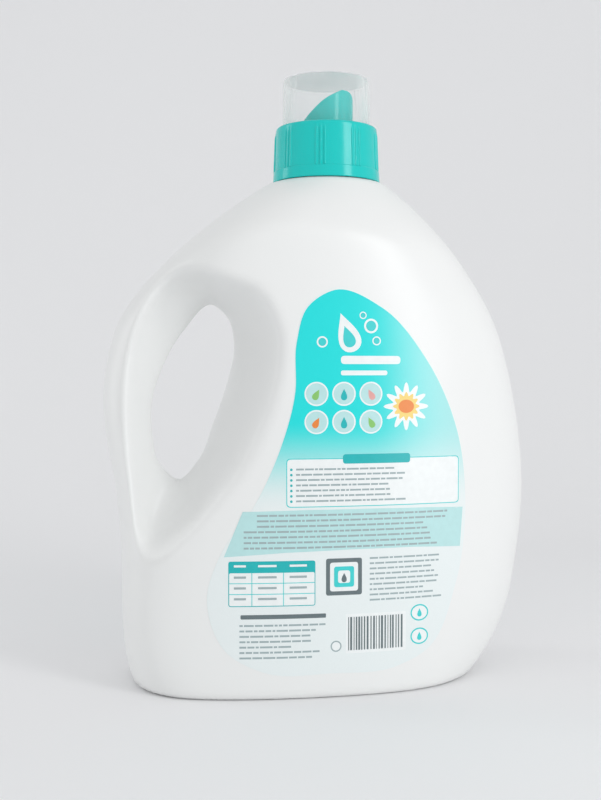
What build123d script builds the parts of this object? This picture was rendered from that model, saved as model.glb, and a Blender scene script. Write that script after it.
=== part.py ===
"""Laundry detergent bottle: a flat blow-moulded jug with a through handle, a ribbed screw collar,
a drip-back pouring insert and a clear measuring cup stored mouth down over the spout.

Frame: origin at the middle of the base on the standing surface, +Z up, X along the width with the
handle at -X and the spout's lip at +X, Y through the thickness. Millimetres.
"""

import math
import os

from build123d import *

# Shell
body_width = 214.4
body_depth = 106.0
body_height = 246.5
panel_radius = 290.0
wall = 1.2
hollow_wall_share = 1.25
base_wall = 1.8
base_round = 2.5
base_ring = 10.0
base_push_up = 3.0
pinch_length = 120.0
pinch_width = 1.2
pinch_height = 0.8

# Neck finish
neck_bore_radius = 22.0
neck_wall = 1.8
neck_height = 14.5

# Collar
collar_gap = 0.5
collar_band_height = 5.6
collar_grip_height = 21.8
collar_band_radius = 27.0
collar_band_draft = 0.3
collar_grip_radius = 26.3
collar_top_radius = 25.5
collar_top_round = 1.7
collar_thread_room = 1.5
rib_groups = 9
ribs_per_group = 3
rib_pitch = 2.1
rib_width = 1.0
rib_proud = 0.45
rib_height = 18.6
rib_root = 0.4
rib_turn = 11.2

# Pouring insert
flange_thickness = 1.5
insert_clearance = 0.3
insert_wall = 1.2
basin_depth = 17.0
basin_floor_tilt = 6.0
spout_radius = 13.4
spout_wall = 1.2
spout_height = 31.0
spout_foot = 3.0
spout_lip_round = 3.5
spout_low_rim = 13.6
spout_rise_at = -0.15
spout_rise_share = 0.67
spout_crest_at = 0.55
spout_turn = -10.0
drain_width = 5.0
drain_height = 6.0
cutter_margin = 2.0

# Measuring cup and its seal
cup_mouth_radius = 22.2
cup_end_radius = 21.8
cup_wall = 1.5
cup_height = 35.0
cup_end_round = 1.4
cup_socket_clearance = 0.8
seal_thickness = 1.5
seal_overhang = 0.3
flute_count = 10
flute_turn = 30.5
flute_length = 12.0
flute_depth = 0.9
flute_end_radius = 4.4
flute_tip_radius = 0.9

# Labels
label_thickness = 0.15

# The outlines below are drawn for a shell of this width, depth and height, as offsets from the
# neck's axis and heights over the base, and are stretched to the sizes above.
drawn_width = 214.4
drawn_depth = 106.0
drawn_height = 246.5
drawn_neck_x = 4.7

# Level by level up the shell: height, left reach, right reach, half depth, where the depth is
# greatest, and how blunt the left and the right end are (2 is an ellipse, more is squarer).
LEVELS = [
    (0.0, -95.0, 69.0, 50.0, -6.0, 2.6, 2.6),
    (12.0, -100.5, 83.0, 54.0, -5.0, 2.9, 2.9),
    (30.0, -102.6, 92.6, 55.6, -3.0, 3.0, 3.1),
    (60.0, -102.9, 99.4, 56.2, -1.0, 2.8, 3.2),
    (92.0, -105.4, 102.5, 56.4, -1.0, 2.2, 3.2),
    (118.0, -109.8, 100.8, 56.4, -4.0, 1.8, 3.2),
    (139.0, -111.9, 97.2, 56.4, -8.0, 1.7, 3.1),
    (158.0, -109.6, 92.0, 56.4, -14.0, 1.7, 3.0),
    (178.0, -103.6, 85.0, 56.0, -20.0, 1.8, 3.0),
    (198.0, -89.0, 73.4, 55.2, -26.0, 2.1, 2.8),
    (216.0, -70.5, 59.6, 52.6, -24.0, 2.4, 2.5),
    (232.0, -50.5, 45.8, 42.0, -12.0, 2.3, 2.2),
    (246.5, -29.0, 29.0, 28.6, 0.0, 2.0, 2.0),
]
SECTION_POINTS = 36

# The hole through the handle and the dished hollow around it, point by point round the rim, from
# the top and clockwise: at the parting plane, on the ridge of the grip, and at the panels.
HOLE_RIM = [
    (-58.0, 185.5), (-50.0, 179.0), (-47.0, 166.0), (-50.5, 147.0), (-57.5, 127.0), (-65.0, 108.5),
    (-75.0, 99.0), (-84.0, 106.0), (-88.0, 122.0), (-88.0, 138.0), (-83.0, 154.0), (-72.0, 173.0),
]
RIDGE_RIM = [
    (-62.0, 191.0), (-49.0, 182.5), (-43.0, 167.0), (-45.5, 147.5), (-52.5, 126.0), (-61.0, 106.0),
    (-74.0, 87.0), (-88.0, 79.0), (-98.0, 106.0), (-100.5, 138.0), (-97.0, 166.0), (-82.0, 189.0),
]
PANEL_RIM = [
    (-62.0, 197.5), (-43.5, 190.5), (-32.8, 170.0), (-34.0, 147.0), (-41.0, 125.0), (-52.0, 103.0),
    (-71.0, 81.0), (-94.0, 61.0), (-122.0, 82.0), (-130.0, 130.0), (-124.0, 172.0), (-95.0, 203.0),
]
ridge_depth = 17.0

# The label's outline, clockwise from its top.
LABEL_RIM = [
    (-7.7, 190.0), (15.0, 182.0), (37.0, 158.5), (54.0, 123.0), (58.3, 90.5), (53.0, 50.0),
    (39.0, 21.0), (23.0, 13.6), (-9.0, 12.0), (-41.5, 13.6), (-58.0, 23.0), (-66.6, 47.0),
    (-60.0, 69.0), (-46.0, 89.0), (-33.0, 117.0), (-26.4, 142.0), (-25.6, 166.0), (-20.5, 182.0),
]

# Places worked out from the sizes
stretch_x = body_width / drawn_width
stretch_y = body_depth / drawn_depth
stretch_z = body_height / drawn_height
neck_x = drawn_neck_x * stretch_x
neck_radius = neck_bore_radius + neck_wall
neck_top = body_height + neck_height
collar_bottom = body_height + collar_gap
band_top = collar_bottom + collar_band_height
collar_top = band_top + collar_grip_height
flange_top = neck_top + flange_thickness
basin_radius = neck_bore_radius - insert_clearance
basin_bottom = flange_top - basin_depth
spout_tip = flange_top + spout_height - flange_thickness
seal_top = flange_top + seal_thickness
cup_mouth = seal_top
cup_top = cup_mouth + cup_height
socket_radius = cup_mouth_radius + cup_socket_clearance
skirt_bore = neck_radius + collar_thread_room
neck_axis = Axis((neck_x, 0, 0), (0, 0, 1))


def radial_plane(turn):
    """Upright plane through the neck's axis: its x is the radius towards the turn, its y is height."""
    angle = math.radians(turn)
    outwards = (math.cos(angle), math.sin(angle), 0)
    across = (math.sin(angle), -math.cos(angle), 0)
    return Plane(origin=(neck_x, 0, 0), x_dir=outwards, z_dir=across)


def level_plane(height, turn=0.0):
    """Level plane at a height, with its origin on the neck's axis and its x towards the turn."""
    angle = math.radians(turn)
    return Plane(origin=(neck_x, 0, height), x_dir=(math.cos(angle), math.sin(angle), 0), z_dir=(0, 0, 1))


def slant(index, column, stretch):
    """How much longer a wall is along a level than square to its own slope at that level."""
    below = LEVELS[max(index - 1, 0)]
    above = LEVELS[min(index + 1, len(LEVELS) - 1)]
    rise = (above[0] - below[0]) * stretch_z
    run = (above[column] - below[column]) * stretch
    return math.hypot(rise, run) / rise


def level_outline(index, inset):
    """Points round the shell at one level: a superellipse whose ends have their own reach and bluntness."""
    _, left, right, depth, crown, blunt_left, blunt_right = LEVELS[index]
    reach_left = (crown - left) * stretch_x - inset * slant(index, 1, stretch_x)
    reach_right = (right - crown) * stretch_x - inset * slant(index, 2, stretch_x)
    half_depth = depth * stretch_y - inset * slant(index, 3, stretch_y)
    points = []
    for step in range(SECTION_POINTS):
        angle = 2 * math.pi * (step + 0.5) / SECTION_POINTS
        cosine, sine = math.cos(angle), math.sin(angle)
        reach, blunt = (reach_right, blunt_right) if cosine > 0 else (reach_left, blunt_left)
        x = crown * stretch_x + math.copysign(reach * abs(cosine) ** (2 / blunt), cosine)
        y = math.copysign(half_depth * abs(sine) ** (2 / blunt), sine)
        points.append((neck_x + x, y))
    return points


def placed_rim(rim, margin):
    """A drawn rim, clockwise, stretched to size and grown outwards by the margin."""
    points = [(neck_x + x * stretch_x, z * stretch_z) for x, z in rim]
    grown = []
    for index, (x, z) in enumerate(points):
        before, after = points[index - 1], points[(index + 1) % len(points)]
        along_x, along_z = after[0] - before[0], after[1] - before[1]
        length = math.hypot(along_x, along_z)
        grown.append((x - margin * along_z / length, z + margin * along_x / length))
    return grown


def blown_form(inset, margin, bottom, top):
    """The shell as a solid: lofted levels held between the two panels, less the hollow of the handle."""
    with BuildPart() as levels:
        heights = [bottom] + [level[0] * stretch_z for level in LEVELS[1:-1]] + [top]
        for index, height in enumerate(heights):
            with BuildSketch(Plane.XY.offset(height)):
                with BuildLine():
                    Spline(*level_outline(index, inset), periodic=True)
                make_face()
        loft()
        with BuildSketch(Plane.XY.offset(bottom)):
            radius = panel_radius - inset
            with Locations((0, panel_radius - body_depth / 2)):
                Circle(radius)
            with Locations((0, body_depth / 2 - panel_radius)):
                Circle(radius, mode=Mode.INTERSECT)
        extrude(amount=top - bottom, mode=Mode.INTERSECT)
    with BuildPart() as hollow:
        outer_offset = body_depth / 2
        ridge_offset = ridge_depth * stretch_y
        stations = [
            (-outer_offset, PANEL_RIM), (-ridge_offset, RIDGE_RIM), (0, HOLE_RIM),
            (ridge_offset, RIDGE_RIM), (outer_offset, PANEL_RIM),
        ]
        for offset, rim in stations:
            with BuildSketch(Plane.XZ.offset(offset)):
                with BuildLine():
                    Spline(*placed_rim(rim, margin), periodic=True)
                make_face()
        loft()
    with BuildPart() as form:
        add(levels.part)
        add(hollow.part, mode=Mode.SUBTRACT)
    return form.part


def footprint(inset, height):
    """Block over the standing footprint, drawn in from its edge."""
    with BuildPart() as block:
        with BuildSketch():
            with BuildLine():
                Spline(*level_outline(0, inset), periodic=True)
            make_face()
        extrude(amount=height)
    return block.part


os.makedirs("parts", exist_ok=True)

# Hollow inside the wall, with the pushed-up base standing into it
cavity_form = blown_form(wall, wall * hollow_wall_share, base_wall, body_height - wall)
push_up_inside = footprint(base_ring - base_wall, base_push_up + base_wall)
with BuildPart() as cavity:
    add(cavity_form)
    add(push_up_inside, mode=Mode.SUBTRACT)

# Bottle: shell, pushed-up base with its pinch-off line, and neck
skin_form = blown_form(0, 0, 0, body_height)
push_up_outside = footprint(base_ring, base_push_up)
with BuildPart() as bottle:
    add(skin_form)
    fillet(bottle.faces().sort_by(Axis.Z)[0].edges(), base_round)
    add(push_up_outside, mode=Mode.SUBTRACT)
    with BuildSketch(Plane.XY.offset(base_push_up)):
        with Locations((push_up_outside.center().X, 0)):
            SlotOverall(pinch_length * stretch_x, pinch_width)
    extrude(amount=-pinch_height)
    with BuildSketch(level_plane(body_height)):
        Circle(neck_radius)
    extrude(amount=neck_height)
    add(cavity.part, mode=Mode.SUBTRACT)
    with BuildSketch(level_plane(neck_top)):
        Circle(neck_bore_radius)
    extrude(amount=-neck_height - 2 * wall, mode=Mode.SUBTRACT)
bottle.part.label = "bottle"
export_step(bottle.part, "parts/bottle.step")
print("bottle", bottle.part.volume, len(bottle.solids()), bottle.part.is_valid)

# Collar: ribbed skirt over the neck, a shoulder that holds the insert's flange, and the cup's socket
with BuildPart() as collar:
    with BuildSketch(radial_plane(0)):
        with BuildLine():
            Polyline(
                (skirt_bore, collar_bottom),
                (collar_band_radius, collar_bottom),
                (collar_band_radius - collar_band_draft, band_top),
                (collar_grip_radius, band_top),
                (collar_top_radius, collar_top),
                (socket_radius, collar_top),
                (socket_radius, flange_top),
                (skirt_bore, flange_top),
                close=True,
            )
        make_face()
    revolve(axis=neck_axis)
    fillet(collar.edges().group_by(Axis.Z)[-1].sort_by(SortBy.RADIUS)[-1], collar_top_round)
    rib_arc = math.degrees(rib_width / collar_grip_radius)
    rib_step = math.degrees(rib_pitch / collar_grip_radius)
    taper = (collar_grip_radius - collar_top_radius) / collar_grip_height
    rib_top_radius = collar_grip_radius - taper * rib_height
    for group in range(rib_groups):
        for rib in range(ribs_per_group):
            middle = rib_turn + 360 / rib_groups * group + rib_step * (rib - (ribs_per_group - 1) / 2)
            with BuildSketch(radial_plane(middle - rib_arc / 2)):
                with BuildLine():
                    Polyline(
                        (collar_grip_radius - rib_root, band_top - rib_root),
                        (collar_grip_radius + rib_proud, band_top - rib_root),
                        (rib_top_radius + rib_proud, band_top + rib_height - rib_proud),
                        (rib_top_radius, band_top + rib_height),
                        (rib_top_radius - rib_root, band_top + rib_height),
                        close=True,
                    )
                make_face()
            revolve(axis=neck_axis, revolution_arc=rib_arc)
collar.part.label = "collar"
export_step(collar.part, "parts/collar.step")
print("collar", collar.part.volume, len(collar.solids()), collar.part.is_valid)

# Pouring insert: flange on the neck's rim, basin inside the bore, tilted floor and slanted spout
basin_bore = basin_radius - insert_wall
spout_bore = spout_radius - spout_wall
floor_height = basin_bottom + insert_wall + basin_bore * math.sin(math.radians(basin_floor_tilt))
with BuildPart() as pour_spout:
    with BuildSketch(radial_plane(0)):
        with BuildLine():
            Polyline(
                (basin_bore, basin_bottom),
                (basin_radius, basin_bottom),
                (basin_radius, neck_top),
                (skirt_bore - insert_clearance, neck_top),
                (skirt_bore - insert_clearance, flange_top),
                (basin_bore, flange_top),
                close=True,
            )
        make_face()
    revolve(axis=neck_axis)
    tilt = math.radians(basin_floor_tilt)
    turn = math.radians(spout_turn)
    floor_up = (-math.sin(tilt) * math.cos(turn), -math.sin(tilt) * math.sin(turn), math.cos(tilt))
    floor_plane = Plane(origin=(neck_x, 0, floor_height), z_dir=floor_up)
    with BuildSketch(floor_plane):
        Circle(basin_bore + insert_wall / 2)
    extrude(amount=-insert_wall)
    with BuildSketch(level_plane(basin_bottom - spout_foot)):
        Circle(spout_radius)
    extrude(amount=spout_tip - basin_bottom + spout_foot)
    with BuildSketch(level_plane(basin_bottom - spout_foot)):
        Circle(spout_bore)
    extrude(amount=spout_tip - basin_bottom + spout_foot, mode=Mode.SUBTRACT)
    low_rim = flange_top + spout_low_rim
    with BuildSketch(radial_plane(spout_turn)):
        with BuildLine():
            rim_end = (spout_radius - spout_lip_round, spout_tip)
            rim = ThreePointArc(
                (-spout_radius - cutter_margin, low_rim - cutter_margin),
                (spout_rise_at * spout_radius, low_rim + spout_rise_share * (spout_tip - low_rim)),
                (spout_crest_at * spout_radius, spout_tip),
            )
            flat = Line(rim @ 1, rim_end)
            lip = RadiusArc(flat @ 1, (spout_radius, spout_tip - spout_lip_round), spout_lip_round)
            Polyline(
                lip @ 1,
                (spout_radius + cutter_margin, spout_tip - spout_lip_round),
                (spout_radius + cutter_margin, spout_tip + cutter_margin),
                (-spout_radius - cutter_margin, spout_tip + cutter_margin),
                rim @ 0,
            )
        make_face()
    extrude(amount=spout_radius + cutter_margin, both=True, mode=Mode.SUBTRACT)
    drain_floor = floor_height - spout_radius * math.sin(tilt)
    with BuildSketch(radial_plane(spout_turn).offset(-drain_width / 2)):
        with Locations((-spout_radius, drain_floor + drain_height / 2)):
            Rectangle(spout_wall + 2 * cutter_margin, drain_height)
    extrude(amount=drain_width, mode=Mode.SUBTRACT)
pour_spout.part.label = "pour_spout"
export_step(pour_spout.part, "parts/pour_spout.step")
print("pour_spout", pour_spout.part.volume, len(pour_spout.solids()), pour_spout.part.is_valid)

# Sealing ring between the flange and the cup's mouth
with BuildPart() as cup_seal:
    with BuildSketch(level_plane(flange_top)):
        Circle(cup_mouth_radius + seal_overhang)
        Circle(cup_mouth_radius - cup_wall - seal_overhang, mode=Mode.SUBTRACT)
    extrude(amount=seal_thickness)
cup_seal.part.label = "cup_seal"
export_step(cup_seal.part, "parts/cup_seal.step")

# Measuring cup: tapered wall, closed end up, with flutes pressed in round the closed end
with BuildPart() as measuring_cup:
    with BuildSketch(radial_plane(0)):
        with BuildLine():
            Polyline(
                (0, cup_mouth),
                (cup_mouth_radius, cup_mouth),
                (cup_end_radius, cup_top),
                (0, cup_top),
                close=True,
            )
        make_face()
    revolve(axis=neck_axis)
    fillet(measuring_cup.edges().group_by(Axis.Z)[-1], cup_end_round)
    with BuildSketch(radial_plane(0)):
        with BuildLine():
            Polyline(
                (0, cup_mouth),
                (cup_mouth_radius - cup_wall, cup_mouth),
                (cup_end_radius - cup_wall, cup_top - cup_wall),
                (0, cup_top - cup_wall),
                close=True,
            )
        make_face()
    revolve(axis=neck_axis, mode=Mode.SUBTRACT)
    flute_reach = cup_end_radius + flute_end_radius - flute_depth
    tip_reach = cup_end_radius + flute_tip_radius
    for flute in range(flute_count):
        turn_to_flute = flute_turn + 360 / flute_count * flute
        with BuildSketch(level_plane(cup_top - flute_length, turn_to_flute)):
            with Locations((tip_reach, 0)):
                Circle(flute_tip_radius)
        with BuildSketch(level_plane(cup_top, turn_to_flute)):
            with Locations((flute_reach, 0)):
                Circle(flute_end_radius)
        loft(mode=Mode.SUBTRACT)
measuring_cup.part.label = "measuring_cup"
export_step(measuring_cup.part, "parts/measuring_cup.step")
print("cup", measuring_cup.part.volume, len(measuring_cup.solids()), measuring_cup.part.is_valid)

# Labels: one outline on each panel, wrapped on the panel's own curve
for name, side in (("back_label", -1), ("front_label", 1)):
    with BuildPart() as label:
        with BuildSketch(Plane.XY):
            with Locations((0, -side * (panel_radius - body_depth / 2))):
                Circle(panel_radius + label_thickness)
                Circle(panel_radius, mode=Mode.SUBTRACT)
            with Locations((0, side * body_depth / 2)):
                Rectangle(body_width, body_depth, mode=Mode.INTERSECT)
        extrude(amount=body_height)
        with BuildSketch(Plane.XZ):
            with BuildLine():
                Spline(*placed_rim(LABEL_RIM, 0), periodic=True)
            make_face()
        extrude(amount=body_depth, both=True, mode=Mode.INTERSECT)
    label.part.label = name
    export_step(label.part, f"parts/{name}.step")
    print(name, label.part.volume, len(label.solids()), label.part.is_valid)
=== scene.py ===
import math
from functools import partial

import bpy
import numpy as np
from bpy.props import FloatProperty, FloatVectorProperty, IntProperty, PointerProperty
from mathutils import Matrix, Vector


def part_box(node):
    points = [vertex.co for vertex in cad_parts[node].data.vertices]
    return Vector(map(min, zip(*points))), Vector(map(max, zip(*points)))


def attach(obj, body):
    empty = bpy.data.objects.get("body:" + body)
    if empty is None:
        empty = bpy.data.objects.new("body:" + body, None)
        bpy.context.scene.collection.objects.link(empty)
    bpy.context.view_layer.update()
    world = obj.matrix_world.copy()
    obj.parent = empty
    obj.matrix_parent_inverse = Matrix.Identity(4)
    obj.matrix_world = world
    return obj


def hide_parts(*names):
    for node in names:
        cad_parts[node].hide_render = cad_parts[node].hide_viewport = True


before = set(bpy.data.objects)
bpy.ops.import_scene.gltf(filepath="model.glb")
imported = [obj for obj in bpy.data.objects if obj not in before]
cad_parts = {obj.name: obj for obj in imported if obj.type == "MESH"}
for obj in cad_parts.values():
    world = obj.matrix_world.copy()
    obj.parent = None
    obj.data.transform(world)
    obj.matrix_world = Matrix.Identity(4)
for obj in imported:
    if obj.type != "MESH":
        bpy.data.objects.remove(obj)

bl_info = {
    "name": "Laundry Detergent Bottle",
    "version": (1, 0, 0),
    "blender": (4, 5, 0),
    "location": "3D View > Sidebar > Bottle",
    "description": "Builds a blow-moulded handled jug with its labels, ribbed collar, pouring insert and dosing cup",
    "category": "Add Mesh",
}

MM = 0.001


def linear(code):
    """sRGB hex code to a linear colour: each channel is ((c + 0.055) / 1.055) ** 2.4, or c / 12.92 near
    black."""
    channels = np.array([int(code[i:i + 2], 16) for i in (1, 3, 5)]) / 255
    curved = np.where(channels > 0.04045, ((channels + 0.055) / 1.055) ** 2.4, channels / 12.92)
    return tuple(float(c) for c in curved)


# ---------------------------------------------------------------- sizes and colours a user would change

class ShellSettings(bpy.types.PropertyGroup):
    panel_crease: FloatProperty(name="Panel crease",
                                description="Width over which panel and shoulder blend",
                                default=0.0035, unit="LENGTH", subtype="DISTANCE")
    dish_edge: FloatProperty(name="Dish edge",
                             description="Width over which the handle's dish blends into the shell",
                             default=0.005, unit="LENGTH", subtype="DISTANCE")
    heel_round: FloatProperty(name="Heel", description="Width over which the wall blends into the base",
                              default=0.0035, unit="LENGTH", subtype="DISTANCE")
    wall: FloatProperty(name="Wall", description="Thickness of the blown wall", default=0.0012,
                        unit="LENGTH", subtype="DISTANCE")
    around: IntProperty(name="Sections", description="Sections taken round the finger hole", default=336)
    across: IntProperty(name="Points", description="Points round each section", default=208)
    resin: FloatVectorProperty(name="Resin", description="Colour of the natural white polyethylene",
                               default=linear("#F1F2F1"), subtype="COLOR")


class ClosureSettings(bpy.types.PropertyGroup):
    rib_proud: FloatProperty(name="Rib height", description="How far the grip ribs stand out",
                             default=0.00045,
                             unit="LENGTH", subtype="DISTANCE")
    thread_pitch: FloatProperty(name="Thread pitch", description="Rise of the neck's thread in one turn",
                                default=0.0042, unit="LENGTH", subtype="DISTANCE")
    thread_proud: FloatProperty(name="Thread height", description="How far the neck's thread stands out",
                                default=0.0011, unit="LENGTH", subtype="DISTANCE")
    teal: FloatVectorProperty(name="Closure teal", description="Colour of the moulded collar and insert",
                              default=linear("#00CCC6"), subtype="COLOR")
    clear: FloatVectorProperty(name="Cup tint", description="Tint of the clear cup",
                               default=linear("#FBFDFC"),
                               subtype="COLOR")


class LabelSettings(bpy.types.PropertyGroup):
    film: FloatProperty(name="Film", description="Thickness of the label film", default=0.00015,
                        unit="LENGTH", subtype="DISTANCE", precision=5)
    ink: FloatProperty(name="Ink", description="Height of one layer of ink", default=0.00003,
                       unit="LENGTH", subtype="DISTANCE", precision=6)
    deep: FloatVectorProperty(name="Label teal", description="Deepest colour of the printed ground",
                              default=linear("#0CE2E1"), subtype="COLOR")
    pale: FloatVectorProperty(name="Label pale", description="Palest colour of the printed ground",
                              default=linear("#EDF4F4"), subtype="COLOR")


class StudioSettings(bpy.types.PropertyGroup):
    paper: FloatVectorProperty(name="Paper", description="Colour of the floor and backdrop",
                               default=linear("#F3F3F4"), subtype="COLOR")
    ambient: FloatProperty(name="Ambient", description="Strength of the soft light from all round",
                           default=0.76)
    key: FloatProperty(name="Key", description="Power of the softbox at the right", default=2.5,
                       unit="POWER")
    fill: FloatProperty(name="Fill", description="Power of the softbox at the left", default=1.0,
                        unit="POWER")


# ---------------------------------------------------------------- nodes and meshes

def add(tree, kind, inputs=None, **settings):
    """Adds one node: settings go on the node, inputs hold values or the sockets to link from."""
    node = tree.nodes.new(kind)
    for name, value in settings.items():
        setattr(node, name, value)
    for name, value in (inputs or {}).items():
        if isinstance(value, bpy.types.NodeSocket):
            tree.links.new(value, node.inputs[name])
        else:
            node.inputs[name].default_value = value
    return node


def surface(name, finish):
    """A new material with its node tree, its Principled shader, set as given, and the piece's
    coordinates."""
    material = bpy.data.materials.new(name)
    material.use_nodes = True
    shader = material.node_tree.nodes["Principled BSDF"]
    for socket, value in finish.items():
        shader.inputs[socket].default_value = value
    place = add(material.node_tree, "ShaderNodeTexCoord").outputs["Object"]
    return material, material.node_tree, shader, place


def turned_over(faces):
    """Every face the other way round. A triangle is a quad whose last corner is written twice, and stays
    one."""
    faces = faces[:, ::-1].copy()
    thin = faces[:, 0] == faces[:, 1]
    faces[thin] = np.roll(faces[thin], -2, axis=1)
    return faces


def outward(points, faces):
    """Turns a closed shell's faces outwards: its volume, the sum of a . (b x c) / 6, has to be positive."""
    corners = points[faces]
    volume = 0.0
    for second, third in ((1, 2), (2, 3)):
        triple = np.cross(corners[:, second], corners[:, third])
        volume += float((corners[:, 0] * triple).sum())
    return faces if volume > 0 else turned_over(faces)


def knit(rows, columns, close_rows, close_columns):
    """Quads of a grid whose points are numbered row by row, closed on itself where asked."""
    i = np.arange(rows if close_rows else rows - 1)[:, None]
    j = np.arange(columns if close_columns else columns - 1)[None, :]
    below, beside = (i + 1) % rows, (j + 1) % columns
    corners = [i * columns + j, i * columns + beside, below * columns + beside, below * columns + j]
    return np.stack(np.broadcast_arrays(*corners), -1).reshape(-1, 4)


def make(name, points, faces, materials, inks=None, crisp=35.0):
    """Object at the origin from points in millimetres; edges sharper than the angle stay crisp."""
    mesh = bpy.data.meshes.new(name)
    quads = np.asarray(faces)
    thin = quads[:, 2] == quads[:, 3]
    mesh.from_pydata((points * MM).tolist(), [], [q[:3] if t else q for q, t in zip(quads.tolist(), thin)])
    for material in materials:
        mesh.materials.append(material)
    if inks is not None:
        mesh.polygons.foreach_set("material_index", np.asarray(inks, np.int32))
    mesh.polygons.foreach_set("use_smooth", np.ones(len(mesh.polygons), bool))
    if mesh.validate():
        raise RuntimeError(f"{name}: the mesh has faces that aren't sound")
    mesh.update()
    mesh.set_sharp_from_angle(angle=math.radians(crisp))
    piece = bpy.data.objects.new(name, mesh)
    bpy.context.scene.collection.objects.link(piece)
    return piece


def fused(piece, others, operation, crisp=35.0):
    """Joins closed shells to a piece, or cuts them from it, and keeps the result as the piece's own
    mesh."""
    for other in others:
        step = piece.modifiers.new(other.name, "BOOLEAN")
        step.object, step.operation, step.solver = other, operation, "MANIFOLD"
    bpy.context.view_layer.update()
    solid = bpy.data.meshes.new_from_object(piece.evaluated_get(bpy.context.evaluated_depsgraph_get()))
    if len(solid.polygons) < 4:
        raise RuntimeError(f"{piece.name}: nothing is left after {operation}")
    piece.modifiers.clear()
    piece.data = solid
    for other in others:
        bpy.data.objects.remove(other)
    solid.polygons.foreach_set("use_smooth", np.ones(len(solid.polygons), bool))
    solid.set_sharp_from_angle(angle=math.radians(crisp))
    return piece


def weighted(piece):
    """Lets the large faces lead the shading, so the flats between small rounds stay flat."""
    step = piece.modifiers.new("face weights", "WEIGHTED_NORMAL")
    step.keep_sharp = True
    return piece


def placed(piece, body, slot, *nodes):
    """The piece rides on its body and stands for the nodes. Its slot is not used."""
    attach(piece, body)
    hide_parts(*nodes)
    return piece


# ---------------------------------------------------------------- curves

def smooth_step(share):
    """3 s^2 - 2 s^3, with s held between 0 and 1."""
    share = np.clip(share, 0, 1)
    return share * share * (3 - 2 * share)


def hermite(share, start, end, start_slope, end_slope, width):
    """Cubic from start to end over the width, with the given slopes at its ends."""
    s2, s3 = share ** 2, share ** 3
    return ((2 * s3 - 3 * s2 + 1) * start + (3 * s2 - 2 * s3) * end
            + width * ((s3 - 2 * s2 + share) * start_slope + (s3 - s2) * end_slope))


def through(knots, values, at):
    """Smooth curve through the values: between two knots a Hermite cubic, its slopes those of the
    neighbours."""
    knots, values = np.asarray(knots, float), np.asarray(values, float)
    slopes = np.gradient(values, knots, axis=0)
    i = np.clip(np.searchsorted(knots, at, side="right") - 1, 0, len(knots) - 2)
    width = (knots[i + 1] - knots[i])[..., None]
    share = np.clip((np.asarray(at) - knots[i])[..., None] / width, 0, 1)
    return hermite(share, values[i], values[i + 1], slopes[i], slopes[i + 1], width)


def ring_through(points, count):
    """Closed curve through the points, sampled evenly along its length."""
    points = np.asarray(points, float)
    looped = np.vstack([points[-3:], points, points[:4]])
    knots = np.concatenate([[0], np.cumsum(np.hypot(*np.diff(looped, axis=0).T))])
    fine = through(knots, looped, np.linspace(knots[3], knots[3 + len(points)], 1441))
    run = np.concatenate([[0], np.cumsum(np.hypot(*np.diff(fine, axis=0).T))])
    even = np.linspace(0, run[-1], count, endpoint=False)
    return np.stack([np.interp(even, run, fine[:, 0]), np.interp(even, run, fine[:, 1])], -1)


def rounded(corners, radii, steps=4):
    """Closed outline whose corners are parabolas: (1-t)^2 a + 2t(1-t) corner + t^2 b, a and b on the two
    sides."""
    corners = np.asarray(corners, float)
    radii = np.broadcast_to(np.asarray(radii, float), (len(corners),))[:, None]
    before, after = np.roll(corners, 1, 0) - corners, np.roll(corners, -1, 0) - corners
    reach_before = np.minimum(radii / np.linalg.norm(before, axis=1, keepdims=True), 0.49)
    reach_after = np.minimum(radii / np.linalg.norm(after, axis=1, keepdims=True), 0.49)
    t = np.linspace(0, 1, steps)[None, :, None]
    start, end, middle = corners + before * reach_before, corners + after * reach_after, corners[:, None]
    bends = (1 - t) ** 2 * start[:, None] + 2 * t * (1 - t) * middle + t ** 2 * end[:, None]
    return bends.reshape(-1, 2)


def refined(outline, longest):
    """The closed outline with its long sides divided, so that what follows it can bend."""
    closed = np.vstack([outline, outline[:1]])
    lengths = np.hypot(*np.diff(closed, axis=0).T)
    counts = np.maximum(np.ceil(lengths / longest).astype(int), 1)
    owner = np.repeat(np.arange(len(outline)), counts)
    share = (np.arange(len(owner)) - np.repeat(np.cumsum(counts) - counts, counts)) / counts[owner]
    return closed[owner] + share[:, None] * (closed[owner + 1] - closed[owner])


def turned(outline, angles, shift=None):
    """Closed outline of (radius, height) carried round the neck's axis; shift changes its radius and
    height."""
    radius = np.broadcast_to(outline[None, :, 0], (len(angles), len(outline)))
    height = np.broadcast_to(outline[None, :, 1], radius.shape)
    if shift is not None:
        radius, height = shift(radius, height, angles[:, None])
    points = np.stack([NECK_X + radius * np.cos(angles)[:, None], radius * np.sin(angles)[:, None],
                       height], -1)
    points = points.reshape(-1, 3)
    return points, outward(points, knit(len(angles), len(outline), True, True))


def plugged(outline, angles):
    """Open outline that starts and ends on the axis, carried round it, with both poles closed by single
    points."""
    middle = outline[1:-1]
    radius, height = middle[None, :, 0], middle[None, :, 1]
    around = angles[:, None]
    x = NECK_X + radius * np.cos(around)
    y = radius * np.sin(around)
    points = np.stack([x, y, np.broadcast_to(height, x.shape)], -1).reshape(-1, 3)
    poles = np.array([[NECK_X, 0, outline[0, 1]], [NECK_X, 0, outline[-1, 1]]])
    count, rows = len(middle), np.arange(len(angles))
    after = (rows + 1) % len(angles)
    first, last = len(points), len(points) + 1
    caps = np.vstack([np.stack([np.full_like(rows, first), rows * count, after * count, after * count], -1),
                      np.stack([np.full_like(rows, last), after * count + count - 1,
                                rows * count + count - 1, rows * count + count - 1], -1)])
    faces = np.vstack([knit(len(angles), count, True, False), caps])
    points = np.vstack([points, poles])
    return points, outward(points, faces)


# ---------------------------------------------------------------- the shell

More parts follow.
